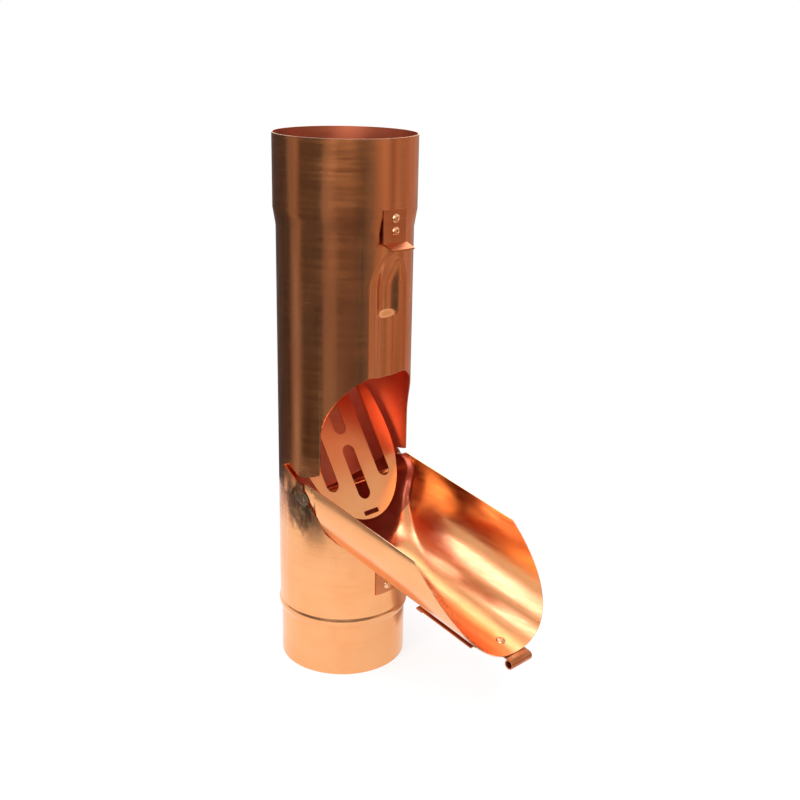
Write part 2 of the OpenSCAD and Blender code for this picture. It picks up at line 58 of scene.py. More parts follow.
# The step between the flap's foot and its wider trough, long at the middle line and short at
# the sides, where the foot's painted shade, a dull dark finish, also reaches a little way up it.
DISC_R = 12.7
STEP_LEN = 3.5
STEP_FADE = 60.0
STEP_ABOVE = 1.5
STEP_BLEND = 8.0
STEP_START_CURVE = 1.3
STEP_LEN_CURVE = 1.2
FOOT_SHADE_REACH = 6.0
FOOT_SHADE_FADE_FROM = 32.0
FOOT_SHADE_FADE = 30.0

# The faces of the flap: round its arc, and along its foot, knee, step and trough.
FLAP_COLUMNS = 128
FOOT_ROWS = 8
KNEE_ROWS = 6
STEP_ROWS = 10
TROUGH_ROWS = 30

# The opening, and the pressed channel above it with the scoop for the catch.
OPENING_FRONT = 23.2
OPENING_TOP = 240.0
ARCH_FROM = 190.0
CHANNEL_HALF = 18.5
CHANNEL_DEPTH = 4.5
CHANNEL_WAIST = 298.0
CHANNEL_TOP = 321.0
CHANNEL_FLAT = 0.25
SCOOP_FROM = 276.0
SCOOP_RAMP = 6.5
SCOOP_HALF = 10.5
SCOOP_EXTRA = 2.7
RUNOUT_CURVE = 1.4
SCOOP_CURVE = 1.5

# The part of the front wall that is drawn anew round the channel.
WINDOW_HALF = 24.0
WINDOW_FOOT = ARCH_FROM + 5
WINDOW_TOP = 328.0
WINDOW_DEPTH = 30.0

# The louvres lie this far out to the sides, and this near to the height of the hinge.
LOUVRE_FROM = 40.0
LOUVRE_REACH = 25.0

# The strap under the flap.
STRAP_W = 27.0
STRAP_GAP = 0.05
STRAP_BEND = 1.6
CATCH_W = 20.5
GRIP_TO = FLAP_LEN - 26
GRIP_FROM = GRIP_TO - 56
GRIP_GAP = 8.5
HEM = 6.0
HEM_BEND = 0.5
ROLL_R = 3.5
EDGE_BREAK = 0.18
STRAP_RIVET_AT = FLAP_LEN - 14
STRAP_RIVET_RISE = 0.12
STRAP_STACK = 1.9

# A blind rivet, and the solder on the wall.
HEAD_R = 3.3
HEAD_H = 1.2
SHANK_R = 1.6
MANDREL_R = 0.95
TAIL_R = 2.0
TAIL_H = 2.4
TAIL_GAP = 0.15
SOLDER_R = 5.0
SOLDER_H = 0.9
SOLDER_SKIN = 0.02
SOLDER_ROOT = 0.3
SOLDER_WANDER = 0.2
SOLDER_LUMPS = 0.55
SOLDER_RINGS = 14
SOLDER_SPOKES = 48

# Each row of blind rivets: where the heads seat, which way they face, and how thick the
# stack is that each one holds.
UPPER_RIVETS = [((0, -SOCKET_R - PLATE_T, 338.1), (0, -1, 0), 3.78),
                ((0, -SOCKET_R - PLATE_T, 346.9), (0, -1, 0), 2.36)]
LOWER_RIVETS = [((0, -BODY_R - PLATE_T, 79.6), (0, -1, 0), 1.7),
                ((0, -BODY_R - PLATE_T, 70.8), (0, -1, 0), 1.7)]
SIEVE_RIVETS = [((0, BODY_R, 252.44), (0, 1, 0), 2.2),
                ((0, BODY_R, 262.44), (0, 1, 0), 2.2)]

# Where the photograph was taken from, about the pipe's axis, in millimetres.
CAMERA_AZIMUTH = math.radians(-41.49)
CAMERA_DISTANCE = 804.2
CAMERA_HEIGHT = 470.6
CAMERA_YAW = math.radians(-2.97)
CAMERA_PITCH = math.radians(18.27)
CAMERA_ROLL = math.radians(1.21)
FOCAL_PIXELS = 1133.43
IMAGE_PIXELS = 800
SENSOR_MM = 36.0

# Finishes, as linear colours.
BRIGHT_COPPER = (0.88, 0.36, 0.135)
PEACH_COPPER = (0.90, 0.44, 0.20)
TONED_COPPER = (0.66, 0.225, 0.085)
# Painted shade: the flap's foot and the strap are darkened towards this colour.
SHADE_DARK_COPPER = (0.34, 0.10, 0.045)
PALE_COPPER = (0.94, 0.55, 0.33)
FLAP_COPPER = (0.95, 0.46, 0.20)
FLAP_ORANGE = (0.90, 0.38, 0.15)
# Painted bounce light: the pipe's inside is a brighter, redder copy of its copper.
INNER_BOUNCE_COPPER = (0.99, 0.42, 0.29)
INNER_BOUNCE_RED = (0.96, 0.28, 0.17)
# Painted shade on the flap's foot, where the pipe shades the flap's inside.
FOOT_SHADE_MAROON = (0.50, 0.105, 0.07)
# Painted shade inside the socket's mouth.
MOUTH_SHADE_COPPER = (0.52, 0.15, 0.075)
# Painted bounce light on the sieve's upper end, inside the pipe.
SIEVE_BOUNCE_ORANGE = (0.80, 0.215, 0.08)
PLATE_BROWN = (0.48, 0.15, 0.06)
# Painted highlight along the cut edges.
EDGE_HIGHLIGHT_COPPER = (0.97, 0.66, 0.44)
STAIN = (0.06, 0.034, 0.021)
SOLDER_GREY = (0.15, 0.125, 0.075)
SOLDER_BROWN = (0.13, 0.07, 0.04)

# Which way the rolled lines of a sheet run: they are drawn out where the number is small.
ROUND_THE_PIPE = (0.05, 0.05, 1.0)
ALONG_THE_FLAP = (1.0, 0.03, 1.0)
ALONG_THE_STRAP = (1.0, 0.04, 1.0)
ALONG_THE_SIEVE = (1.0, 0.05, 0.05)
ACROSS_THE_PLATE = (0.08, 1.0, 1.0)
ALL_WAYS = (1.0, 1.0, 1.0)

# How fine the patterns of the copper are, in waves to the metre, and how far each one
# stands out, in metres.
LINES_FINE, LINES_RISE = 90.0, 0.00015
SCUFFS_FINE, SCUFFS_RISE = 60.0, 0.0001
SWAY_FINE, SWAY_RISE = 17.0, 0.0016
SHEEN_FINE = 420.0

# Between which heights the pipe changes its tone, the painted shade in its mouth comes in,
# and the sieve's painted bounce light, in metres.
PIPE_TONES = (0.118, 0.146)
MOUTH_SHADE_HEIGHTS = (0.325, 0.36)
SIEVE_BOUNCE_HEIGHTS = (0.122, 0.178)

# The flux stain on the wall at the hinge rod's ends, and the darker streak below it, which is
# partly stain and partly painted shade, in metres: each pair says where it is full and where
# it has faded out, or the other way about.
STAIN_CENTRE = (0.0475, -0.0115, 0.137)
STAIN_FADE = (0.010, 0.026)
WALL_STREAK_Y = -0.019
WALL_STREAK_SIDES = (0.003, 0.012)
WALL_STREAK_FOOT = (0.096, 0.128)
WALL_STREAK_HEAD = (0.138, 0.15)

# The stage, in metres: a white floor that fades into the backdrop from the first distance to
# the second, and the share of plain white that it has at the part.
FLOOR_REACH = 12.0
FLOOR_DROP = 0.0002
FLOOR_FADE = (0.12, 0.5)
FLOOR_SHARE = 0.72
FLOOR_PAPER = (0.93, 0.93, 0.93)
WHITE = (1.0, 1.0, 1.0)
SKY_GREY = (0.72, 0.72, 0.72)

# The dim room that the copper mirrors. The dark surround is a bowl of rings, each with its
# radius and height. On the side where the flap shades the table, between two bearings in
# degrees that fade in and out, it comes as near as FLAP_SHADE_R, as a painted shadow of the
# flap that the copper mirrors.
SURROUND_RINGS = [(0.36, 0.0005), (1.0, 0.03), (2.0, 0.15), (3.0, 0.5)]
FLAP_SHADE_R = 0.085
SHADE_FROM, SHADE_FROM_FADE = 30.0, 20.0
SHADE_TO, SHADE_TO_FADE = 125.0, 30.0
CEILING_REACH = 2.6
CEILING_HEIGHT = 1.5
CEILING_DIM = (0.55, 0.50, 0.46)
CEILING_BRIGHT = (0.85, 0.80, 0.75)

# How bright the surround is, by bearing from the pipe in degrees, where 0 lies in front of
# the opened flap and 90 to its right. It is warm from 0 up to WARM_UP_TO, and cool elsewhere.
CARD_BANDS = [(-180, 0.09), (-146, 0.08), (-135, 0.34), (-124, 0.40), (-114, 0.12),
              (-94, 0.10), (-80, 0.10), (-72, 0.36), (-62, 0.36), (-50, 0.20), (-30, 0.19),
              (-14, 0.12), (-2, 0.18), (14, 0.48), (26, 0.60), (36, 0.34), (48, 0.55),
              (60, 0.40), (78, 0.60), (110, 0.5), (135, 0.2), (180, 0.09)]
WARM_UP_TO = 135
WARM_TINT = (1.05, 0.72, 0.58)
COOL_TINT = (1.0, 0.93, 0.95)

# The soft boxes, all turned to one place: where each stands, its width and height, its
# watts, whether the copper mirrors it, and its colour.
STREAK_TINT = (1.0, 0.92, 1.25)
LAMP_TARGET = (0.0, -0.1, 0.09)
LAMPS = [("top_box", (-0.25, -0.55, 1.1), (0.5, 0.8), 7.0, False, WHITE),
         ("side_box", (-1.1, -0.2, 0.7), (0.35, 0.9), 5.0, False, WHITE),
         ("rear_box", (0.0, 0.31, 1.22), (0.34, 0.46), 1.45, True, STREAK_TINT),
         ("left_box", (-0.65, 0.32, 1.01), (0.24, 0.50), 1.15, True, STREAK_TINT),
         ("far_box", (0.55, 0.42, 0.85), (0.7, 0.6), 2.4, True, WHITE),
         ("front_box", (-0.69, -0.62, 0.73), (0.8, 0.8), 5.5, True, WHITE)]

# The sockets of a Mix node when it mixes colours.
MIX_SHARE, MIX_A, MIX_B, MIX_RESULT = 0, 6, 7, 2

# How near two points of a mesh lie to be joined into one, in metres.
PIPE_WELD = 0.000001
SOLDER_WELD = 0.00001

# How sharp a corner has to be to stay a crease in a smooth-shaded piece, in degrees.
CREASE = 35.0
STRAP_CREASE = 40.0
RIVET_CREASE = 30.0
SOLDER_CREASE = 60.0

# The finishes of the drawn flap's and pipe's faces, by their place in the piece's list.
FLAP_SHEET, FLAP_EDGE, FLAP_FOOT_SHADE = 0, 1, 2
PIPE_OUTSIDE, PIPE_INSIDE, PIPE_EDGE = 0, 1, 2

# A face of the pipe is inside or outside where it faces the axis, or away from it, by more
# than this share, and a cut edge otherwise.
FACING_SHARE = 0.35


# ---------------------------------------------------------------- node helpers

def set_up(node, values):
    """Sets a node's properties and unlinked inputs from a dict."""
    for key, value in values.items():
        if isinstance(key, str) and hasattr(node, key) and key not in node.inputs:
            setattr(node, key, value)
        else:
            node.inputs[key].default_value = value
    return node


class Graph:
    """A node tree that is built one line at a time."""

    def __init__(self, tree):
        self.tree = tree

    def add(self, kind, values=None, **links):
        """Adds a node with its values, and links its inputs by name."""
        node = set_up(self.tree.nodes.new(kind), values or {})
        for name, source in links.items():
            self.join(source, node, name.replace("_", " "))
        return node

    def join(self, source, node, socket):
        """Links a node, or one output of it, to another node's input."""
        output = source if isinstance(source, bpy.types.NodeSocket) else source.outputs[0]
        self.tree.links.new(output, node.inputs[socket])

    def math(self, operation, a, b=0.0, clamp=False):
        """Works with two values, each given as a number or as a node."""
        node = self.tree.nodes.new("ShaderNodeMath")
        node.operation = operation
        node.use_clamp = clamp
        for i, value in enumerate((a, b)):
            if isinstance(value, (int, float)):
                node.inputs[i].default_value = value
            else:
                self.join(value, node, i)
        return node

    def spread(self, value, low, high, to_low=0.0, to_high=1.0):
        """Smoothly maps a value from one range to another."""
        node = self.add("ShaderNodeMapRange", {"interpolation_type": "SMOOTHSTEP"})
        self.join(value, node, "Value")
        return set_up(node, {"From Min": low, "From Max": high,
                             "To Min": to_low, "To Max": to_high})

    def mix(self, share, a, b, blend="MIX"):
        """Mixes two colours, each given as a tuple or as a node."""
        node = self.add("ShaderNodeMix", {"data_type": "RGBA", "blend_type": blend})
        for index, value in ((MIX_SHARE, share), (MIX_A, a), (MIX_B, b)):
            if isinstance(value, (int, float)):
                node.inputs[index].default_value = value
            elif isinstance(value, tuple):
                node.inputs[index].default_value = (*value, 1.0)
            else:
                self.join(value, node, index)
        return node.outputs[MIX_RESULT]

    def noise(self, place, scale, stretch=ALL_WAYS, turn=(0, 0, 0), detail=3.0, rough=0.5):
        """Noise on the piece's own coordinates, stretched along chosen axes."""
        laid = self.add("ShaderNodeMapping", {"Scale": stretch, "Rotation": turn}, Vector=place)
        return self.add("ShaderNodeTexNoise",
                        {"Scale": scale, "Detail": detail, "Roughness": rough}, Vector=laid)


def new_material(name):
    """A new material, its graph, its shader and its own coordinates."""
    material = bpy.data.materials.new(name)
    material.use_nodes = True
    g = Graph(material.node_tree)
    shader = material.node_tree.nodes["Principled BSDF"]
    return material, g, shader, g.add("ShaderNodeTexCoord").outputs["Object"]


# ---------------------------------------------------------------- copper finishes

def copper(name, tone, toned, rough, grain, turn=(0, 0, 0), cloud=26.0, waves=0.35, wear=1.0,
           extra=None):
    """Bare copper sheet: rolled grain, hand smudges, faint scratches and a slightly wavy face.

    tone and toned are its two colours, grain and turn say which way the rolled lines run,
    cloud is how fine the smudges are, waves how wavy the face is, wear the share of scuffs
    that shows, and extra adds what one piece alone has.
    """
    material, g, shader, place = new_material(name)
    smudge = g.noise(place, cloud, detail=5.0, rough=0.62)
    lines = g.noise(place, LINES_FINE, grain, turn, detail=4.0, rough=0.7)
    sheen = g.noise(place, SHEEN_FINE, grain, turn, detail=2.0)
    scuffs = g.noise(place, SCUFFS_FINE, (1, 1, 0.35), (0.5, 0.9, 0.3), detail=8.0, rough=0.75)

    share = g.math("MULTIPLY", g.spread(smudge, 0.35, 0.72), 0.6)
    share = g.math("ADD", share, g.spread(lines, 0.3, 0.75, 0.0, 0.22), clamp=True)
    colour = g.mix(share, tone, toned)
    marks = g.spread(scuffs, 0.64, 0.72, 0.0, 0.35 * wear)
    colour = g.mix(marks, colour, PALE_COPPER)
    roughness = g.math("ADD", g.spread(smudge, 0.3, 0.8, rough, rough + 0.08),
                       g.spread(sheen, 0.3, 0.7, -0.02, 0.05))
    if extra:
        colour, roughness = extra(g, place, colour, roughness)
    g.join(colour, shader, "Base Color")
    g.join(roughness, shader, "Roughness")

    sway = g.noise(place, SWAY_FINE, detail=1.0)
    wavy = g.add("ShaderNodeBump", {"Strength": waves, "Distance": SWAY_RISE}, Height=sway)
    brushed = g.add("ShaderNodeBump", {"Strength": 0.10, "Distance": LINES_RISE},
                    Height=lines, Normal=wavy)
    worn = g.add("ShaderNodeBump", {"Strength": 0.12 * wear, "Distance": SCUFFS_RISE},
                 Height=scuffs, Normal=brushed)
    g.join(worn, shader, "Normal")
    shader.inputs["Metallic"].default_value = 1.0
    return material


def hinge_stain_and_shade(g, place, colour, roughness):
    """Dull brown flux stain about the rod's ends, and a darker streak down the wall below it,
    partly stain and partly painted shade.
    """
    parts = g.add("ShaderNodeSeparateXYZ", Vector=place)
    across = g.math("ABSOLUTE", parts.outputs["X"])
    folded = g.add("ShaderNodeCombineXYZ", X=across, Y=parts.outputs["Y"], Z=parts.outputs["Z"])
    ragged = g.noise(place, 70.0, (1, 1, 0.45), detail=6.0, rough=0.65)
    away = g.add("ShaderNodeVectorMath", {"operation": "DISTANCE"})
    g.join(folded, away, 0)
    away.inputs[1].default_value = STAIN_CENTRE
    near = g.math("ADD", away.outputs["Value"], g.spread(ragged, 0.25, 0.75, -0.012, 0.012))
    blot = g.spread(near, *STAIN_FADE, 0.97, 0.0)

    # The streak below the rod's ends: partly stain, partly painted shade.
    beside = g.math("ABSOLUTE", g.math("ADD", parts.outputs["Y"], -WALL_STREAK_Y))
    wall_streak = g.math("MULTIPLY", g.spread(beside, *WALL_STREAK_SIDES, 0.7, 0.0),
                  g.spread(parts.outputs["Z"], *WALL_STREAK_FOOT))
    wall_streak = g.math("MULTIPLY", wall_streak, g.spread(parts.outputs["Z"], *WALL_STREAK_HEAD, 1.0, 0.0))

    stain_shade_mask = g.math("MULTIPLY", g.math("MAXIMUM", blot, wall_streak),
                     g.spread(ragged, 0.28, 0.55, 0.6, 1.0))
    patches = g.noise(place, 210.0, detail=4.0)
    colour = g.mix(stain_shade_mask, colour, g.mix(g.spread(patches, 0.48, 0.66), STAIN, SOLDER_GREY))
    roughness = g.math("ADD", roughness, g.math("MULTIPLY", stain_shade_mask, 0.3), clamp=True)
    return colour, roughness


def pipe_tone(g, place, colour, roughness):
    """Above the slits the pipe is a darker brown, in soft upright bands."""
    parts = g.add("ShaderNodeSeparateXYZ", Vector=place)
    upright = g.noise(place, 42.0, (1, 1, 0.06), detail=3.0, rough=0.6)
    height = g.math("ADD", parts.outputs["Z"], g.spread(upright, 0.3, 0.7, -0.014, 0.014))
    toned = g.math("MULTIPLY", g.spread(height, *PIPE_TONES),
                   g.spread(upright, 0.36, 0.66, 0.45, 0.95))
    colour = g.mix(toned, colour, TONED_COPPER)
    return hinge_stain_and_shade(g, place, colour, roughness)


def mouth_shade(g, place, colour, roughness):
    """Inside the socket the wall turns a dark brown: painted shade."""
    height = g.add("ShaderNodeSeparateXYZ", Vector=place).outputs["Z"]
    return g.mix(g.spread(height, *MOUTH_SHADE_HEIGHTS), colour, MOUTH_SHADE_COPPER), roughness


def sieve_bounce_light(g, place, colour, roughness):
    """The sieve is peach at its low end and turns a redder orange towards its top, inside
    the pipe: painted bounce light from the copper about it.
    """
    parts = g.add("ShaderNodeSeparateXYZ", Vector=place)
    soft = g.noise(place, 30.0, detail=2.0)
    height = g.math("ADD", parts.outputs["Z"], g.spread(soft, 0.3, 0.7, -0.008, 0.008))
    return g.mix(g.spread(height, *SIEVE_BOUNCE_HEIGHTS), colour, SIEVE_BOUNCE_ORANGE), roughness


def solder_finish(name):
    """Dull grey solder with a lumpy, pitted skin."""
    material, g, shader, place = new_material(name)
    lumps = g.noise(place, 380.0, detail=4.0)
    g.join(g.mix(g.spread(lumps, 0.3, 0.55), SOLDER_GREY, SOLDER_BROWN), shader, "Base Color")
    g.join(g.spread(lumps, 0.3, 0.7, 0.35, 0.6), shader, "Roughness")
    pitted = g.add("ShaderNodeBump", {"Strength": 0.5, "Distance": 0.0004}, Height=lumps)
    g.join(pitted, shader, "Normal")
    shader.inputs["Metallic"].default_value = 0.8
    return material


def make_finishes():
    """The finishes of the record's material slots, and those of the faces that only the drawn
    pieces tell apart: the flap, its foot in painted shade, the pipe's inside in painted bounce
    light and the cut edges with a painted highlight."""
    flap_turn = (math.radians(FLAP_SLOPE), 0, 0)
    return {
        "copper_sheet": copper("copper_sheet_finish", PEACH_COPPER, BRIGHT_COPPER, 0.16,
                               ROUND_THE_PIPE, waves=0.22, extra=pipe_tone),
        "copper_flap": copper("copper_flap_finish", FLAP_COPPER, FLAP_ORANGE, 0.16,
                              ALONG_THE_FLAP, flap_turn, cloud=14.0, waves=0.3, wear=0.25),
        "copper_sieve": copper("copper_sieve_finish", PEACH_COPPER, BRIGHT_COPPER, 0.3,
                               ALONG_THE_SIEVE, cloud=18.0, waves=0.15, extra=sieve_bounce_light),
        # The inside's brighter, redder copper is painted bounce light.
        "inner_wall_bounce_lit": copper("inner_wall_finish", INNER_BOUNCE_COPPER, INNER_BOUNCE_RED, 0.36,
                             ROUND_THE_PIPE, waves=0.25, extra=mouth_shade),
        # The cut edges are pale and rough as a painted highlight.
        "cut_edge_highlight": copper("cut_edge_finish", EDGE_HIGHLIGHT_COPPER, PALE_COPPER, 0.32, ALL_WAYS,
                           waves=0.05),
        # The foot's dark maroon is painted shade, where the pipe shades the flap's inside.
        "flap_foot_shade": copper("flap_foot_finish", FOOT_SHADE_MAROON, SHADE_DARK_COPPER, 0.34,
                            ALONG_THE_FLAP, flap_turn),
        "copper_plate": copper("copper_plate_finish", TONED_COPPER, PLATE_BROWN, 0.26,
                               ACROSS_THE_PLATE, cloud=50.0, waves=0.2),
        # The strap's dark copper is painted shade from the flap above it.
        "copper_strap": copper("copper_strap_shaded_finish", TONED_COPPER, SHADE_DARK_COPPER, 0.3,
                               ALONG_THE_STRAP, flap_turn, cloud=60.0, waves=0.2),
        "copper_fittings": copper("copper_fittings_finish", PALE_COPPER, BRIGHT_COPPER, 0.2,
                                  ALL_WAYS, cloud=160.0, waves=0.1),
        "solder": solder_finish("solder_finish"),
    }


# ---------------------------------------------------------------- shared mesh work

def smooth(t):
    """Eases from 0 to 1 as t does, and stays level outside."""
    t = min(1.0, max(0.0, t))
    return t * t * (3 - 2 * t)


def blend(a, b, share):
    return a + (b - a) * share


def put_in_scene(name, data):
    """A new object in the scene, at the origin."""
    thing = bpy.data.objects.new(name, data)
    bpy.context.scene.collection.objects.link(thing)
    return thing


def mesh_of(name, points, faces):
    """A plain mesh from points in millimetres."""
    mesh = bpy.data.meshes.new(name)
    mesh.from_pydata([tuple(c * MM for c in p) for p in points], [], faces)
    return mesh


def mesh_from(bm, name):
    """The mesh that a bmesh has come to."""
    mesh = bpy.data.meshes.new(name)
    bm.to_mesh(mesh)
    bm.free()
    return mesh


def worked_mesh(piece):
    """The mesh of a piece with its modifiers worked in."""
    graph = bpy.context.evaluated_depsgraph_get()
    return bpy.data.meshes.new_from_object(piece.evaluated_get(graph))


def merge_points(mesh, name, distance):
    """A copy of a mesh whose points are joined where they lie within a distance in metres."""
    bm = bmesh.new()
    bm.from_mesh(mesh)
    bmesh.ops.remove_doubles(bm, verts=bm.verts, dist=distance)
    return mesh_from(bm, name)


def shade(mesh, crease=CREASE):
    """Shades a mesh smooth between its creases."""
    mesh.shade_smooth()
    mesh.set_sharp_from_angle(angle=math.radians(crease))


def finish_mesh(name, mesh, material, crease=CREASE):
    """Puts a mesh in the scene as a piece, with its finish and shading."""
    mesh.materials.clear()
    mesh.materials.append(material)
    shade(mesh, crease)
    return put_in_scene(name, mesh)


def mesh_object(name, points, faces, material, crease=CREASE):
    """A finished piece from points in millimetres."""
    mesh = mesh_of(name, points, faces)
    mesh.validate()
    return finish_mesh(name, mesh, material, crease)


def cut_away(piece, name, cutter):
    """The mesh of a piece after an exact cut by a bmesh."""
    block = put_in_scene(name, mesh_from(cutter, name))
    cut = piece.modifiers.new(name, "BOOLEAN")
    cut.object = block
    cut.operation = "DIFFERENCE"
    cut.solver = "EXACT"
    mesh = worked_mesh(piece)
    piece.modifiers.remove(cut)
    bpy.data.objects.remove(block)
    return mesh


def grow(name, base, tree, values, material):
    """Runs a node tree on a base mesh and keeps the result as a plain mesh."""
    seed = put_in_scene(name + "_seed", base)
    modifier = seed.modifiers.new("grow", "NODES")
    modifier.node_group = tree
    for item in tree.interface.items_tree:
        if item.item_type == "SOCKET" and item.in_out == "INPUT" and item.name in values:
            modifier[item.identifier] = values[item.name]
    mesh = worked_mesh(seed)
    mesh.name = name
    bpy.data.objects.remove(seed)
    return finish_mesh(name, mesh, material)


def point_numbers(columns, rows):
    """The number of a point of a two-sided sheet, by its side, column and row."""
    def at(side, i, j):
        return (side * columns + i) * rows + j
    return at


def both_sides(at, i, j):
    """The outer and the inner face of a sheet at a column and row."""
    return [(at(0, i, j), at(0, i + 1, j), at(0, i + 1, j + 1), at(0, i, j + 1)),
            (at(1, i, j), at(1, i, j + 1), at(1, i + 1, j + 1), at(1, i + 1, j))]


def swing_open(point):
    """Turns a point that is laid out closed, about the hinge, to the open position."""
    x, y, z = point
    turn = math.radians(TRAVEL)
    dy, dz = y + HINGE_FRONT, z - HINGE_Z
    return (x, dy * math.cos(turn) - dz * math.sin(turn) - HINGE_FRONT,
            dy * math.sin(turn) + dz * math.cos(turn) + HINGE_Z)


# ---------------------------------------------------------------- flap

# Angles round the flap are in degrees from its middle line, and distances along it, from
# the hinge towards its tip, are in millimetres.

HINGE_ANGLE = math.degrees(math.acos(HINGE_FRONT / FOOT_R))
STEP_EVEN_ANGLE = math.degrees(math.acos(OPENING_FRONT / FOOT_R))
AXIS_CROSS = HINGE_FRONT * math.tan(math.radians(TRAVEL / 2))
MITRE_SLOPE = math.tan(math.radians((90 - FLAP_SLOPE) / 2))


def behind_hinge(angle):
    """How far the foot's wall lies behind the hinge, below 0 where it is in front."""
    return HINGE_FRONT - FOOT_R * math.cos(math.radians(angle))


def step_start(angle):
    """How far along the flap its step begins in front of the hinge."""
    turn = min(abs(angle), HINGE_ANGLE)
    return DISC_R + STEP_FADE / 2 * (1 - turn / HINGE_ANGLE) ** STEP_START_CURVE


def step_length(angle):
    """How far along the flap its step takes, in front of the hinge."""
    return STEP_LEN + STEP_FADE * max(0.0, 1 - abs(angle) / STEP_EVEN_ANGLE) ** STEP_LEN_CURVE


def flap_radius(angle, along):
    """Outer radius of the flap: its foot, its trough, or the step between them."""
    behind = behind_hinge(angle)
    side = (smooth((math.hypot(along, behind) - DISC_R) / STEP_LEN)
            * smooth((along - STEP_ABOVE) / STEP_LEN) * smooth(1 + behind / STEP_BLEND))
    middle = smooth((along - step_start(angle)) / step_length(angle))
    return FOOT_R + (FLAP_R - FOOT_R) * max(middle, side)


def foot_line(angle):
    """Where the foot ends: on the mitre that the flap shares with the pipe, with its corners
    taken off."""
    turn = abs(angle)
    corner = max(0.0, turn - FOOT_CORNER_FROM) / (FLAP_WRAP - FOOT_CORNER_FROM)
    return (MITRE_GAP - AXIS_CROSS - MITRE_SLOPE * FOOT_R * math.cos(math.radians(turn))
            + FOOT_CORNER_RISE * corner ** 2)


def tip_line(angle):
    """Where the trough ends: a bowed tip that falls back to the flap's two corners."""
    share = abs(angle) / FLAP_WRAP
    return FLAP_LEN - (FLAP_LEN - CORNER_LEN) * share ** 3 * (TIP_BOW - (TIP_BOW - 1) * share)


def arc_at(radius, behind):
    """How far along the flap a circle about the hinge reaches."""
    return math.sqrt(max(0.0, radius * radius - behind * behind))


def flap_stations(angle):
    """Rows along the flap at one angle, close together on the step."""
    behind = behind_hinge(angle)
    share = smooth(-behind / STEP_BLEND)
    foot = foot_line(angle)
    start = max(foot + 1, STEP_ABOVE,
                blend(arc_at(DISC_R, behind), step_start(angle), share))
    end = max(start + 1, STEP_ABOVE + STEP_LEN,
              blend(arc_at(DISC_R + STEP_LEN, behind), step_start(angle) + step_length(angle),
                    share))
    # How far the foot's painted shade reaches up the step at the sides.
    reach = FOOT_SHADE_REACH * smooth((abs(angle) - FOOT_SHADE_FADE_FROM) / FOOT_SHADE_FADE)
    knee = start + max(0.5, reach)
    end = max(end, knee + 2)
    tip = tip_line(angle)
    rows = []
    for low, high, count in ((foot, start, FOOT_ROWS), (start, knee, KNEE_ROWS),
                             (knee, end, STEP_ROWS), (end, tip, TROUGH_ROWS)):
        rows += [blend(low, high, i / count) for i in range(count)]
    return rows + [tip]


def flap_side(angles, inset):
    """The points of one side of the flap's sheet, column by column, as the flap hangs open."""
    points = []
    for angle in angles:
        a = math.radians(angle)
        for along in flap_stations(angle):
            r = flap_radius(angle, along) - inset
            points.append(swing_open((r * math.sin(a), -r * math.cos(a), HINGE_Z + along)))
    return points


def make_flap(sheet, edge, foot):
    """The half-round flap, with a face every degree and a half: its sheet, its cut edge,
    pale as a painted highlight, and the foot inside the pipe, in a dull dark finish of painted
    shade."""
    painted_shade_rows = FOOT_ROWS + KNEE_ROWS
    rows = painted_shade_rows + STEP_ROWS + TROUGH_ROWS
    angles = [FLAP_WRAP * (2 * i / FLAP_COLUMNS - 1) for i in range(FLAP_COLUMNS + 1)]
    points = flap_side(angles, 0.0) + flap_side(angles, SHEET)
    at = point_numbers(FLAP_COLUMNS + 1, rows + 1)
    faces, looks = [], []
    for i in range(FLAP_COLUMNS):
        for j in range(rows):
            faces += both_sides(at, i, j)
            looks += [FLAP_SHEET, FLAP_FOOT_SHADE if j < painted_shade_rows else FLAP_SHEET]
        for j in (0, rows):
            rim = (at(0, i, j), at(1, i, j), at(1, i + 1, j), at(0, i + 1, j))
            faces.append(rim if j == 0 else rim[::-1])
            looks.append(FLAP_EDGE)
    for j in range(rows):
        for i in (0, FLAP_COLUMNS):
            rim = (at(0, i, j), at(0, i, j + 1), at(1, i, j + 1), at(1, i, j))
            faces.append(rim if i == 0 else rim[::-1])
            looks.append(FLAP_EDGE)
    flap = mesh_object("flap_sheet", points, faces, sheet)
    for material in (edge, foot):
        flap.data.materials.append(material)
    for face in flap.data.polygons:
        face.material_index = looks[face.index]
    cut_rod_holes(flap)
    return flap


def cut_rod_holes(flap):
    """Drills the flap's side walls for the hinge rod."""
    drill = bmesh.new()
    radius = (ROD_R + ROD_PLAY) * MM
    across = (Matrix.Translation((0, -HINGE_FRONT * MM, HINGE_Z * MM))
              @ Matrix.Rotation(math.pi / 2, 4, "Y"))
    bmesh.ops.create_cone(drill, cap_ends=True, segments=48, radius1=radius, radius2=radius,
                          depth=DRILL_LEN * MM, matrix=across)
    flap.data = cut_away(flap, "rod_drill", drill)
    shade(flap.data)


# ---------------------------------------------------------------- pipe

def arch_line():
    """The opening's arched top in the side view, as (y, height) points from the front back:
    a curve that four points pull, as in the solids."""
    rise = OPENING_TOP - ARCH_FROM
    pulls = [(-BODY_R - 1, OPENING_TOP), (-0.75 * BODY_R, OPENING_TOP - 0.27 * rise),
             (-OPENING_FRONT, ARCH_FROM + 0.36 * rise), (-OPENING_FRONT, ARCH_FROM)]
    steps = 12
    line = []
    for i in range(steps + 1):
        t = i / steps
        shares = ((1 - t) ** 3, 3 * t * (1 - t) ** 2, 3 * t * t * (1 - t), t ** 3)
        line.append(tuple(sum(share * pull[k] for share, pull in zip(shares, pulls))
                          for k in (0, 1)))
    return line


def arch_height(y, line):
    """How high the arch stands at a distance from front to back."""
    for (y0, z0), (y1, z1) in zip(line, line[1:]):
        if y <= y1:
            return blend(z0, z1, (y - y0) / (y1 - y0))
    return line[-1][1]


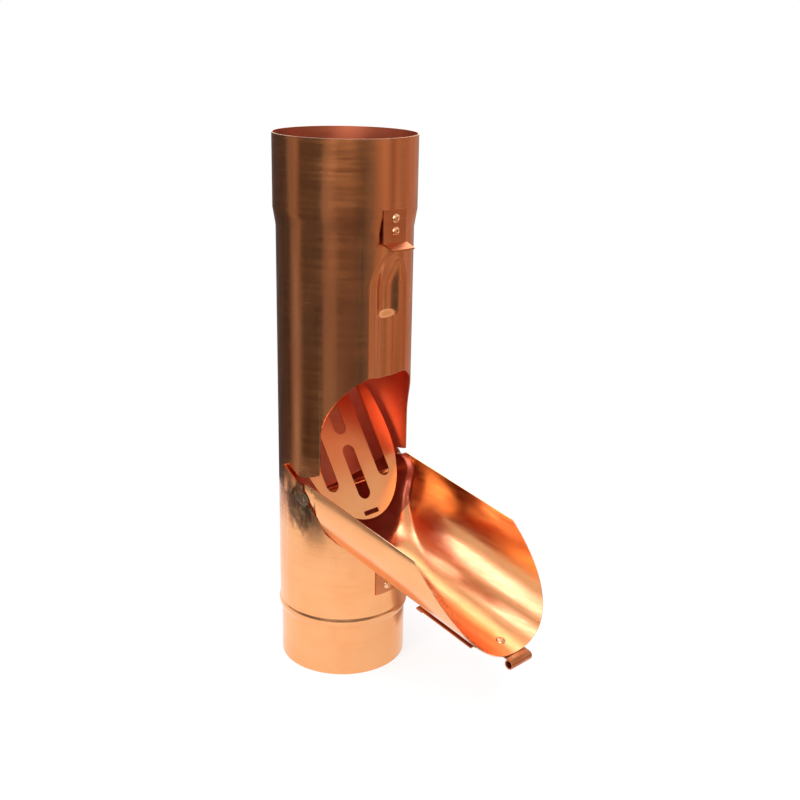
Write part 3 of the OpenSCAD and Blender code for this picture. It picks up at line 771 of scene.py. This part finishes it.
def pressed_in(x, z):
    """How far the press has pushed the front wall in: a soft channel that ends in a deeper
    scoop."""
    rise = max(0.0, (z - CHANNEL_WAIST) / (CHANNEL_TOP - CHANNEL_WAIST))
    if rise >= 1:
        return 0.0
    half = CHANNEL_HALF * math.sqrt(1 - rise * rise)
    fade = 1 - rise ** RUNOUT_CURVE
    wall = smooth((abs(x) / half - CHANNEL_FLAT) / (1 - CHANNEL_FLAT))
    channel = CHANNEL_DEPTH * (1 - wall) * fade
    scoop = (SCOOP_EXTRA * max(0.0, 1 - (x / SCOOP_HALF) ** 2) ** SCOOP_CURVE
             * smooth((z - SCOOP_FROM) / SCOOP_RAMP) * fade)
    return channel + scoop


def channel_patch():
    """The front wall between the opening and the upper plate, pressed as one soft sheet."""
    columns, rows = 96, 130
    line = arch_line()
    points, faces = [], []
    for wall_r in (BODY_R, BODY_IN_R):
        for i in range(columns + 1):
            x = WINDOW_HALF * (2 * i / columns - 1)
            front = -math.sqrt(wall_r * wall_r - x * x)
            foot = arch_height(front + pressed_in(x, OPENING_TOP), line)
            for j in range(rows + 1):
                z = blend(foot, WINDOW_TOP, j / rows)
                points.append((x, front + pressed_in(x, z), z))
    at = point_numbers(columns + 1, rows + 1)
    for i in range(columns):
        for j in range(rows):
            faces += both_sides(at, i, j)
        faces.append((at(0, i, 0), at(1, i, 0), at(1, i + 1, 0), at(0, i + 1, 0)))
    return mesh_of("channel_patch", points, faces)


def on_window(face):
    """True for the faces that the window's own sides have left in the wall."""
    x, y, z = face.calc_center_median() / MM
    on_plane, square_on = 0.02, 0.99
    front_wall, lowest = -30, OPENING_TOP - 30
    beside = (abs(abs(x) - WINDOW_HALF) < on_plane and abs(face.normal.x) > square_on
              and z > lowest)
    above = (abs(z - WINDOW_TOP) < on_plane and abs(face.normal.z) > square_on
             and abs(x) < WINDOW_HALF)
    return y < front_wall and (beside or above)


def on_louvre(place):
    """True near the slits, where the pressed-out louvres keep the finish of the sheet."""
    return abs(place.x) > LOUVRE_FROM and abs(place.z - HINGE_Z) < LOUVRE_REACH


def open_window(solid):
    """The pipe's own mesh without its front wall round the channel, and without the faces
    that the cut leaves there."""
    whole = put_in_scene("pipe_merged", merge_points(solid.data, "pipe_merged", PIPE_WELD))
    block = bmesh.new()
    middle = Vector((0, -BODY_R, (WINDOW_FOOT + WINDOW_TOP) / 2)) * MM
    size = Matrix.Diagonal((2 * WINDOW_HALF * MM, WINDOW_DEPTH * MM,
                            (WINDOW_TOP - WINDOW_FOOT) * MM, 1))
    bmesh.ops.create_cube(block, size=1.0, matrix=Matrix.Translation(middle) @ size)
    opened = bmesh.new()
    opened.from_mesh(cut_away(whole, "channel_window", block))
    bpy.data.objects.remove(whole)
    seam = [face for face in opened.faces if on_window(face)]
    bmesh.ops.delete(opened, geom=seam, context="FACES")
    return opened


def make_pipe(solid, sheet, inner, edge):
    """The pipe as it is in the solids, with its pressed channel drawn soft, and with its
    inside and its cut edges in finishes of their own: the inside a brighter, redder copy of
    the copper as painted bounce light, the cut edges pale as a painted highlight."""
    wall = open_window(solid)
    wall.from_mesh(channel_patch())
    mesh = mesh_from(wall, "pipe_wall")
    pipe = finish_mesh("pipe_wall", mesh, sheet)
    for material in (inner, edge):
        mesh.materials.append(material)
    for face in mesh.polygons:
        out = Vector((face.center.x, face.center.y, 0)).normalized()
        facing = face.normal.dot(out)
        if facing < -FACING_SHARE:
            face.material_index = PIPE_INSIDE
        elif facing <= FACING_SHARE and not on_louvre(face.center / MM):
            face.material_index = PIPE_EDGE
        else:
            face.material_index = PIPE_OUTSIDE
    even = pipe.modifiers.new("even_normals", "WEIGHTED_NORMAL")
    even.keep_sharp = True
    return pipe


# ---------------------------------------------------------------- strap

def make_strap(material):
    """The strip under the flap: a wide hemmed grip, then a narrower ramp, seat and rolled
    catch."""
    seat_y = -FLAP_R - STRAP_GAP - PLATE_T / 2
    grip_y = -FLAP_R - GRIP_GAP - PLATE_T / 2
    grip_from, grip_to = HINGE_Z + GRIP_FROM, HINGE_Z + GRIP_TO
    ramp_top = HINGE_Z + STRAP_RIVET_AT - HEAD_R - 1
    grip = [(0, grip_y - PLATE_T, grip_from + HEM), (0, grip_y - PLATE_T, grip_from + HEM_BEND),
            (0, grip_y, grip_from + HEM_BEND), (0, grip_y, grip_to - STRAP_BEND)]
    catch = [(0, grip_y, grip_to - STRAP_BEND), (0, grip_y, grip_to), (0, seat_y, ramp_top),
             (0, seat_y, HINGE_Z + FLAP_LEN)]
    return join("latch_strap_strip", [
        ribbon("grip", fillet(grip, HEM_BEND), STRAP_W, material),
        ribbon("catch", fillet(catch, STRAP_BEND) + roll_path(), CATCH_W, material)])


def join(name, parts):
    """Puts the meshes of several finished parts into one piece."""
    bm = bmesh.new()
    for part in parts:
        bm.from_mesh(worked_mesh(part))
    material = parts[0].data.materials[0]
    for part in parts:
        bpy.data.objects.remove(part)
    return finish_mesh(name, mesh_from(bm, name), material, STRAP_CREASE)


def fillet(points, radius):
    """Rounds the corners of a line with short arcs."""
    steps = 5
    out = [Vector(points[0])]
    for a, b, c in zip(points, points[1:], points[2:]):
        a, b, c = Vector(a), Vector(b), Vector(c)
        back, ahead = a - b, c - b
        reach = min(radius, back.length * 0.45, ahead.length * 0.45)
        p, q = b + back.normalized() * reach, b + ahead.normalized() * reach
        for i in range(steps + 1):
            t = i / steps
            out.append(p * (1 - t) ** 2 + b * 2 * t * (1 - t) + q * t * t)
    return out + [Vector(points[-1])]


def roll_path():
    """The rolled catch at the strap's end, most of a turn."""
    radius = ROLL_R - PLATE_T / 2
    centre_y = -FLAP_R - STRAP_GAP - ROLL_R
    centre_z = HINGE_Z + FLAP_LEN + ROLL_R
    turns = [math.radians(a) for a in range(0, 336, 15)]
    return [Vector((0, centre_y + radius * math.cos(a), centre_z + radius * math.sin(a)))
            for a in turns]


def ribbon(name, path, width, material):
    """A flat strip of plate along a path in the side view."""
    points, faces = [], []
    for i, p in enumerate(path):
        ahead = path[min(i + 1, len(path) - 1)] - path[max(i - 1, 0)]
        across = Vector((0, ahead.z, -ahead.y)).normalized() * PLATE_T / 2
        for x, side in ((-1, -1), (1, -1), (1, 1), (-1, 1)):
            q = p + across * side
            points.append(swing_open((x * width / 2, q.y, q.z)))
    for i in range(len(path) - 1):
        for k in range(4):
            a, b = i * 4 + k, i * 4 + (k + 1) % 4
            faces.append((a, b, b + 4, a + 4))
    last = (len(path) - 1) * 4
    faces += [(3, 2, 1, 0), (last, last + 1, last + 2, last + 3)]
    piece = mesh_object(name, points, faces, material, STRAP_CREASE)
    soften(piece)
    return piece


def soften(piece):
    """Breaks a piece's sharp edges."""
    bevel = piece.modifiers.new("soft_edges", "BEVEL")
    bevel.width = EDGE_BREAK * MM
    bevel.segments = 2
    bevel.limit_method = "ANGLE"
    bevel.angle_limit = math.radians(50)
    bevel.harden_normals = False


# ---------------------------------------------------------------- rivets

def turned(name, outline, material, steps=40):
    """A turned piece from (radius, height) points, from its top to its foot, both on the
    axis."""
    rings = outline[1:-1]
    turns = [2 * math.pi * k / steps for k in range(steps)]
    points = [(0, 0, outline[0][1])]
    points += [(r * math.cos(a), r * math.sin(a), z) for r, z in rings for a in turns]
    points.append((0, 0, outline[-1][1]))
    last = len(points) - 1
    foot = last - steps
    faces = []
    for k in range(steps):
        n = (k + 1) % steps
        faces.append((0, 1 + k, 1 + n))
        for i in range(len(rings) - 1):
            a, b = 1 + i * steps, 1 + (i + 1) * steps
            faces.append((a + k, b + k, b + n, a + n))
        faces.append((last, foot + n, foot + k))
    return mesh_object(name, points, faces, material, RIVET_CREASE)


def rivet_tree(material):
    """Sets a head, a shank and a tail at each point, facing the way that the point says."""
    tree = bpy.data.node_groups.new("blind_rivets", "GeometryNodeTree")
    tree.is_modifier = True
    face = tree.interface
    face.new_socket("Geometry", in_out="INPUT", socket_type="NodeSocketGeometry")
    for name in ("Head", "Shank", "Tail"):
        face.new_socket(name, in_out="INPUT", socket_type="NodeSocketObject")
    face.new_socket("Geometry", in_out="OUTPUT", socket_type="NodeSocketGeometry")
    g = Graph(tree)
    given = tree.nodes.new("NodeGroupInput")
    places = given.outputs["Geometry"]
    facing, reach = (g.add("GeometryNodeInputNamedAttribute", {"data_type": kind, "Name": name})
                     for name, kind in (("facing", "FLOAT_VECTOR"), ("reach", "FLOAT")))
    turn = g.add("FunctionNodeAlignRotationToVector", {"axis": "Z"}, Vector=facing)
    parts = g.add("GeometryNodeJoinGeometry")
    stretch = g.add("ShaderNodeCombineXYZ", {"X": 1.0, "Y": 1.0}, Z=reach)
    back = g.add("ShaderNodeVectorMath", {"operation": "SCALE"},
                 Scale=g.math("MULTIPLY", reach, -1.0))
    g.join(facing, back, 0)
    behind = g.add("GeometryNodeSetPosition", Geometry=places, Offset=back)
    for name, points, scale in (("Head", places, None), ("Shank", places, stretch),
                                ("Tail", behind, None)):
        shape = g.add("GeometryNodeObjectInfo", Object=given.outputs[name])
        put = g.add("GeometryNodeInstanceOnPoints", Points=points, Rotation=turn,
                    Instance=shape.outputs["Geometry"])
        if scale:
            g.join(scale, put, "Scale")
        g.join(put, parts, "Geometry")
    real = g.add("GeometryNodeRealizeInstances", Geometry=parts)
    finished = g.add("GeometryNodeSetMaterial", {"Material": material}, Geometry=real)
    g.join(finished, tree.nodes.new("NodeGroupOutput"), "Geometry")
    return tree


def rivet_shapes(material):
    """The three turned shapes of a blind rivet: domed head with the broken mandrel, shank and
    tail. The shank is a metre long, so that its stretch is its length in metres."""
    head = [(0, 0.62), (0.5, 0.66), (0.74, 0.5), (0.8, 0.1), (MANDREL_R, 0.1),
            (MANDREL_R, HEAD_H - 0.16), (MANDREL_R + 0.16, HEAD_H), (1.7, HEAD_H - 0.04),
            (2.35, HEAD_H - 0.2), (2.85, HEAD_H - 0.5), (3.15, HEAD_H - 0.85), (HEAD_R, 0.12),
            (HEAD_R - 0.04, 0), (0, 0)]
    shank = [(0, 0), (SHANK_R, 0), (SHANK_R, -1 / MM), (0, -1 / MM)]
    tail = [(0, 0), (SHANK_R, 0), (TAIL_R, -0.5), (TAIL_R, -TAIL_H + 0.7),
            (SHANK_R, -TAIL_H + 0.15), (1.1, -TAIL_H), (0, -TAIL_H)]
    return {"Head": turned("rivet_head", head, material),
            "Shank": turned("rivet_shank", shank, material),
            "Tail": turned("rivet_tail", tail, material)}


def strap_rivet_row():
    """The strap's rivet: its head stands a little off the flap's round inside, because the
    head is flat underneath."""
    y, z = -FLAP_IN_R + STRAP_RIVET_RISE, HINGE_Z + STRAP_RIVET_AT
    seat, ahead = swing_open((0, y, z)), swing_open((0, y + 1, z))
    return [(seat, Vector(ahead) - Vector(seat), STRAP_STACK)]


def make_rivets(name, rows, tree, shapes, material):
    """One row of blind rivets, grown from its points."""
    base = mesh_of(name + "_points", [place for place, _, _ in rows], [])
    base.attributes.new("facing", "FLOAT_VECTOR", "POINT")
    base.attributes.new("reach", "FLOAT", "POINT")
    for i, (_, way, stack) in enumerate(rows):
        base.attributes["facing"].data[i].vector = way
        base.attributes["reach"].data[i].value = (stack + TAIL_GAP) * MM
    return grow(name, base, tree, shapes, material)


# ---------------------------------------------------------------- solder

def solder_point(side, share, a):
    """A point of a mound of solder, on a side of the pipe, at a share of the way from the rod
    to the mound's edge and an angle round the rod."""
    wander = noise.noise(Vector((2.2 * math.cos(a), 2.2 * math.sin(a), side)))
    edge = SOLDER_R * (1 + SOLDER_WANDER * wander)
    y = -HINGE_FRONT + share * edge * math.cos(a)
    z = HINGE_Z + share * edge * math.sin(a)
    lumps = noise.fractal(Vector((y * SOLDER_LUMPS, z * SOLDER_LUMPS, side * 7)), 0.8, 2.0, 4)
    mound = SOLDER_H * (1 - share ** 3) * (0.8 + 0.5 * lumps)
    r = BODY_R + max(SOLDER_SKIN, mound) * (share < 1)
    return side * math.sqrt(r * r - y * y), y, z


def make_solder(material):
    """A lumpy mound of solder on the wall round each end of the hinge rod."""
    rings, spokes = SOLDER_RINGS, SOLDER_SPOKES
    points, faces = [], []
    for side in (-1, 1):
        start = len(points)
        points += [solder_point(side, i / rings, 2 * math.pi * k / spokes)
                   for i in range(rings + 1) for k in range(spokes)]
        root = math.sqrt((BODY_R - SOLDER_ROOT) ** 2 - HINGE_FRONT ** 2)
        points.append((side * root, -HINGE_FRONT, HINGE_Z))
        mound = []
        for k in range(spokes):
            n = (k + 1) % spokes
            for i in range(rings):
                low, high = start + i * spokes, start + (i + 1) * spokes
                mound.append((low + k, high + k, high + n, low + n))
            mound.append((len(points) - 1, high + n, high + k))
        faces += mound if side > 0 else [face[::-1] for face in mound]
    mounds = mesh_of("loose_mounds", points, faces)
    mesh = merge_points(mounds, "hinge_solder_mounds", SOLDER_WELD)
    return finish_mesh("hinge_solder_mounds", mesh, material, SOLDER_CREASE)


# ---------------------------------------------------------------- stage

def make_camera():
    """The camera stands where the photograph was taken."""
    place = Vector((math.sin(CAMERA_AZIMUTH) * CAMERA_DISTANCE,
                    -math.cos(CAMERA_AZIMUTH) * CAMERA_DISTANCE, CAMERA_HEIGHT)) * MM
    heading = CAMERA_AZIMUTH + CAMERA_YAW
    ahead = Vector((-math.sin(heading) * math.cos(CAMERA_PITCH),
                    math.cos(heading) * math.cos(CAMERA_PITCH), -math.sin(CAMERA_PITCH)))
    right = Vector((math.cos(heading), math.sin(heading), 0))
    up = right.cross(ahead)
    level, tilt = math.cos(CAMERA_ROLL), math.sin(CAMERA_ROLL)
    right, up = right * level + up * tilt, up * level - right * tilt
    camera = bpy.data.cameras.new("camera")
    camera.sensor_width = SENSOR_MM
    camera.lens = FOCAL_PIXELS * SENSOR_MM / IMAGE_PIXELS
    camera.clip_start = 0.01
    holder = put_in_scene("camera", camera)
    turn = Matrix((right, up, -ahead)).transposed().to_4x4()
    holder.matrix_world = Matrix.Translation(place) @ turn
    bpy.context.scene.camera = holder


def backdrop_share(g):
    """1 for rays that show the backdrop as such: those of the camera, of reflections and of
    glass."""
    rays = g.add("ShaderNodeLightPath")
    share = g.math("MAXIMUM", rays.outputs["Is Camera Ray"], rays.outputs["Is Glossy Ray"])
    return g.math("MAXIMUM", share, rays.outputs["Is Transmission Ray"])


def square_mesh(name, reach, height=0.0, down=False):
    """A square about the pipe's axis, in metres, that faces up or down."""
    corners = [(-reach, -reach), (reach, -reach), (reach, reach), (-reach, reach)]
    if down:
        corners.reverse()
    mesh = bpy.data.meshes.new(name)
    mesh.from_pydata([(x, y, height) for x, y in corners], [], [(0, 1, 2, 3)])
    return mesh


def make_floor():
    """A plain white floor that keeps the object's shadow and fades into the backdrop."""
    material, g, paper, place = new_material("floor_paper")
    paper.inputs["Base Color"].default_value = (*FLOOR_PAPER, 1.0)
    paper.inputs["Roughness"].default_value = 0.9
    away = g.add("ShaderNodeVectorMath", {"operation": "LENGTH"})
    g.join(place, away, 0)
    share = g.math("MULTIPLY", backdrop_share(g),
                   g.spread(away.outputs["Value"], *FLOOR_FADE, FLOOR_SHARE, 1.0))
    white = g.add("ShaderNodeEmission", {"Color": (*WHITE, 1.0), "Strength": 1.0})
    faded = g.add("ShaderNodeMixShader")
    for index, source in ((0, share), (1, paper), (2, white)):
        g.join(source, faded, index)
    g.join(faded, material.node_tree.nodes["Material Output"], "Surface")
    mesh = square_mesh("floor", FLOOR_REACH)
    mesh.materials.append(material)
    floor = put_in_scene("floor", mesh)
    floor.location.z = -FLOOR_DROP


def glowing(name, colour_of):
    """A card's material that glows by itself, in the colour that colour_of makes on the
    card's own coordinates."""
    material = bpy.data.materials.new(name)
    material.use_nodes = True
    material.node_tree.nodes.clear()
    g = Graph(material.node_tree)
    place = g.add("ShaderNodeTexCoord").outputs["Object"]
    glow = g.add("ShaderNodeEmission", {"Strength": 1.0})
    g.join(colour_of(g, place), glow, "Color")
    g.join(glow, g.add("ShaderNodeOutputMaterial"), "Surface")
    return material


def card_colour(g, place):
    """The colour of the dark surround: its bands, by their bearing, with soft streaks."""
    parts = g.add("ShaderNodeSeparateXYZ", Vector=place)
    streaks = g.noise(place, 5.0, (1, 1, 0.05), detail=3.0, rough=0.6)
    bearing = g.math("ARCTAN2", parts.outputs["X"], g.math("MULTIPLY", parts.outputs["Y"], -1.0))
    turn = g.math("ADD", g.math("DIVIDE", bearing, 2 * math.pi), 0.5)
    ramp = g.add("ShaderNodeValToRGB", Fac=turn)
    ramp.color_ramp.interpolation = "EASE"
    stops = ramp.color_ramp.elements
    for angle, bright in CARD_BANDS:
        at = angle / 360 + 0.5
        if 0 < at < 1:
            stop = stops.new(at)
        else:
            stop = stops[0 if at == 0 else len(stops) - 1]
        tint = WARM_TINT if 0 < angle < WARM_UP_TO else COOL_TINT
        stop.color = (*(bright * share for share in tint), 1.0)
    return g.mix(1.0, ramp.outputs["Color"], g.spread(streaks, 0.3, 0.7, 0.6, 1.3), "MULTIPLY")


def ceiling_colour(g, place):
    """The colour of the ceiling, in large soft patches."""
    soft = g.noise(place, 1.6, detail=2.0)
    return g.mix(g.spread(soft, 0.35, 0.65), CEILING_DIM, CEILING_BRIGHT)


def add_card(name, mesh, material):
    """A card that shows in reflections alone, so that it neither lights nor shades anything
    else."""
    mesh.materials.append(material)
    card = put_in_scene(name, mesh)
    card.visible_camera = False
    card.visible_diffuse = False
    card.visible_transmission = False
    card.visible_volume_scatter = False
    card.visible_shadow = False


def surround_mesh():
    """A shallow bowl round the table, which comes nearer where the flap shades it, as a
    painted shadow that the copper mirrors.
    """
    steps, count = 96, len(SURROUND_RINGS)
    (first, lowest), outer = SURROUND_RINGS[0], SURROUND_RINGS[1:]
    points, faces = [], []
    for i in range(steps):
        bearing = 360 * i / steps - 180
        a = math.radians(bearing)
        in_shade = (smooth((bearing - SHADE_FROM) / SHADE_FROM_FADE)
                    * smooth((SHADE_TO - bearing) / SHADE_TO_FADE))
        rings = [(blend(first, FLAP_SHADE_R, in_shade), lowest)] + outer
        points += [(radius * math.sin(a), -radius * math.cos(a), z) for radius, z in rings]
        k, n = count * i, count * ((i + 1) % steps)
        faces += [(k + j, k + j + 1, n + j + 1, n + j) for j in range(count - 1)]
    mesh = bpy.data.meshes.new("dark_surround")
    mesh.from_pydata(points, [], faces)
    return mesh


def make_room():
    """A dim room that only reflections see: a dark floor beyond the table, and a ceiling."""
    add_card("dark_surround", surround_mesh(), glowing("dark_surround", card_colour))
    add_card("ceiling", square_mesh("ceiling", CEILING_REACH, CEILING_HEIGHT, down=True),
             glowing("dim_ceiling", ceiling_colour))


def make_light():
    """A white backdrop and the soft boxes: two that light the floor and the part, and four
    more that the copper also mirrors."""
    world = bpy.data.worlds.new("studio")
    bpy.context.scene.world = world
    world.use_nodes = True
    g = Graph(world.node_tree)
    sky = world.node_tree.nodes["Background"]
    g.join(g.mix(backdrop_share(g), SKY_GREY, WHITE), sky, "Color")
    sky.inputs["Strength"].default_value = 1.0
    for name, place, size, watts, mirrored, colour in LAMPS:
        lamp = bpy.data.lights.new(name, "AREA")
        lamp.color = colour
        lamp.shape = "RECTANGLE"
        lamp.size, lamp.size_y = size
        lamp.energy = watts
        holder = put_in_scene(name, lamp)
        holder.visible_glossy = mirrored
        holder.location = place
        ahead = Vector(LAMP_TARGET) - Vector(place)
        holder.rotation_euler = ahead.to_track_quat("-Z", "Y").to_euler()
    bpy.context.scene.view_settings.view_transform = "Standard"


# ---------------------------------------------------------------- putting it together

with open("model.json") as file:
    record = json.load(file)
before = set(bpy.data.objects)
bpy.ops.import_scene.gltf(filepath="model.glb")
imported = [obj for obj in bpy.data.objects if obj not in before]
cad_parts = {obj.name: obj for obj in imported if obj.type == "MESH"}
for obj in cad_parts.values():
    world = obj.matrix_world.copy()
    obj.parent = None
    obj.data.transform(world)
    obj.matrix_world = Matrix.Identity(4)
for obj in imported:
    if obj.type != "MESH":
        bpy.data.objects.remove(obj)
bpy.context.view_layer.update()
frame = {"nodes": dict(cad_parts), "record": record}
nodes = frame["nodes"]
finishes = make_finishes()
slots = {part["node"]: part["material_slot"] for part in frame["record"]["subparts"]}

for node, solid in nodes.items():
    solid.data.materials.clear()
    solid.data.materials.append(finishes[slots[node]])

make_camera()
make_floor()
make_room()
make_light()

pipe_wall = make_pipe(nodes["pipe"], finishes["copper_sheet"], finishes["inner_wall_bounce_lit"],
                      finishes["cut_edge_highlight"])
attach(pipe_wall, "pipe_body")
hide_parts("pipe")

flap_sheet = make_flap(finishes["copper_flap"], finishes["cut_edge_highlight"], finishes["flap_foot_shade"])
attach(flap_sheet, "flap_body")
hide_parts("flap")

strap = make_strap(finishes["copper_strap"])
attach(strap, "flap_body")
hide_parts("latch_strap")

rivet_metal = finishes["copper_fittings"]
tree = rivet_tree(rivet_metal)
shapes = rivet_shapes(rivet_metal)
for piece_name, rows, body, node in (
        ("upper_latch_rivet_set", UPPER_RIVETS, "pipe_body", "upper_latch_rivets"),
        ("lower_stop_rivet_set", LOWER_RIVETS, "pipe_body", "lower_stop_rivets"),
        ("sieve_rivet_set", SIEVE_RIVETS, "pipe_body", "sieve_rivets"),
        ("strap_rivet_set", strap_rivet_row(), "flap_body", "strap_rivet")):
    rivets = make_rivets(piece_name, rows, tree, shapes, rivet_metal)
    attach(rivets, body)
    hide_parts(node)
for shape in shapes.values():
    bpy.data.objects.remove(shape)

solder = make_solder(finishes["solder"])
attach(solder, "pipe_body")
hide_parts("hinge_solder")
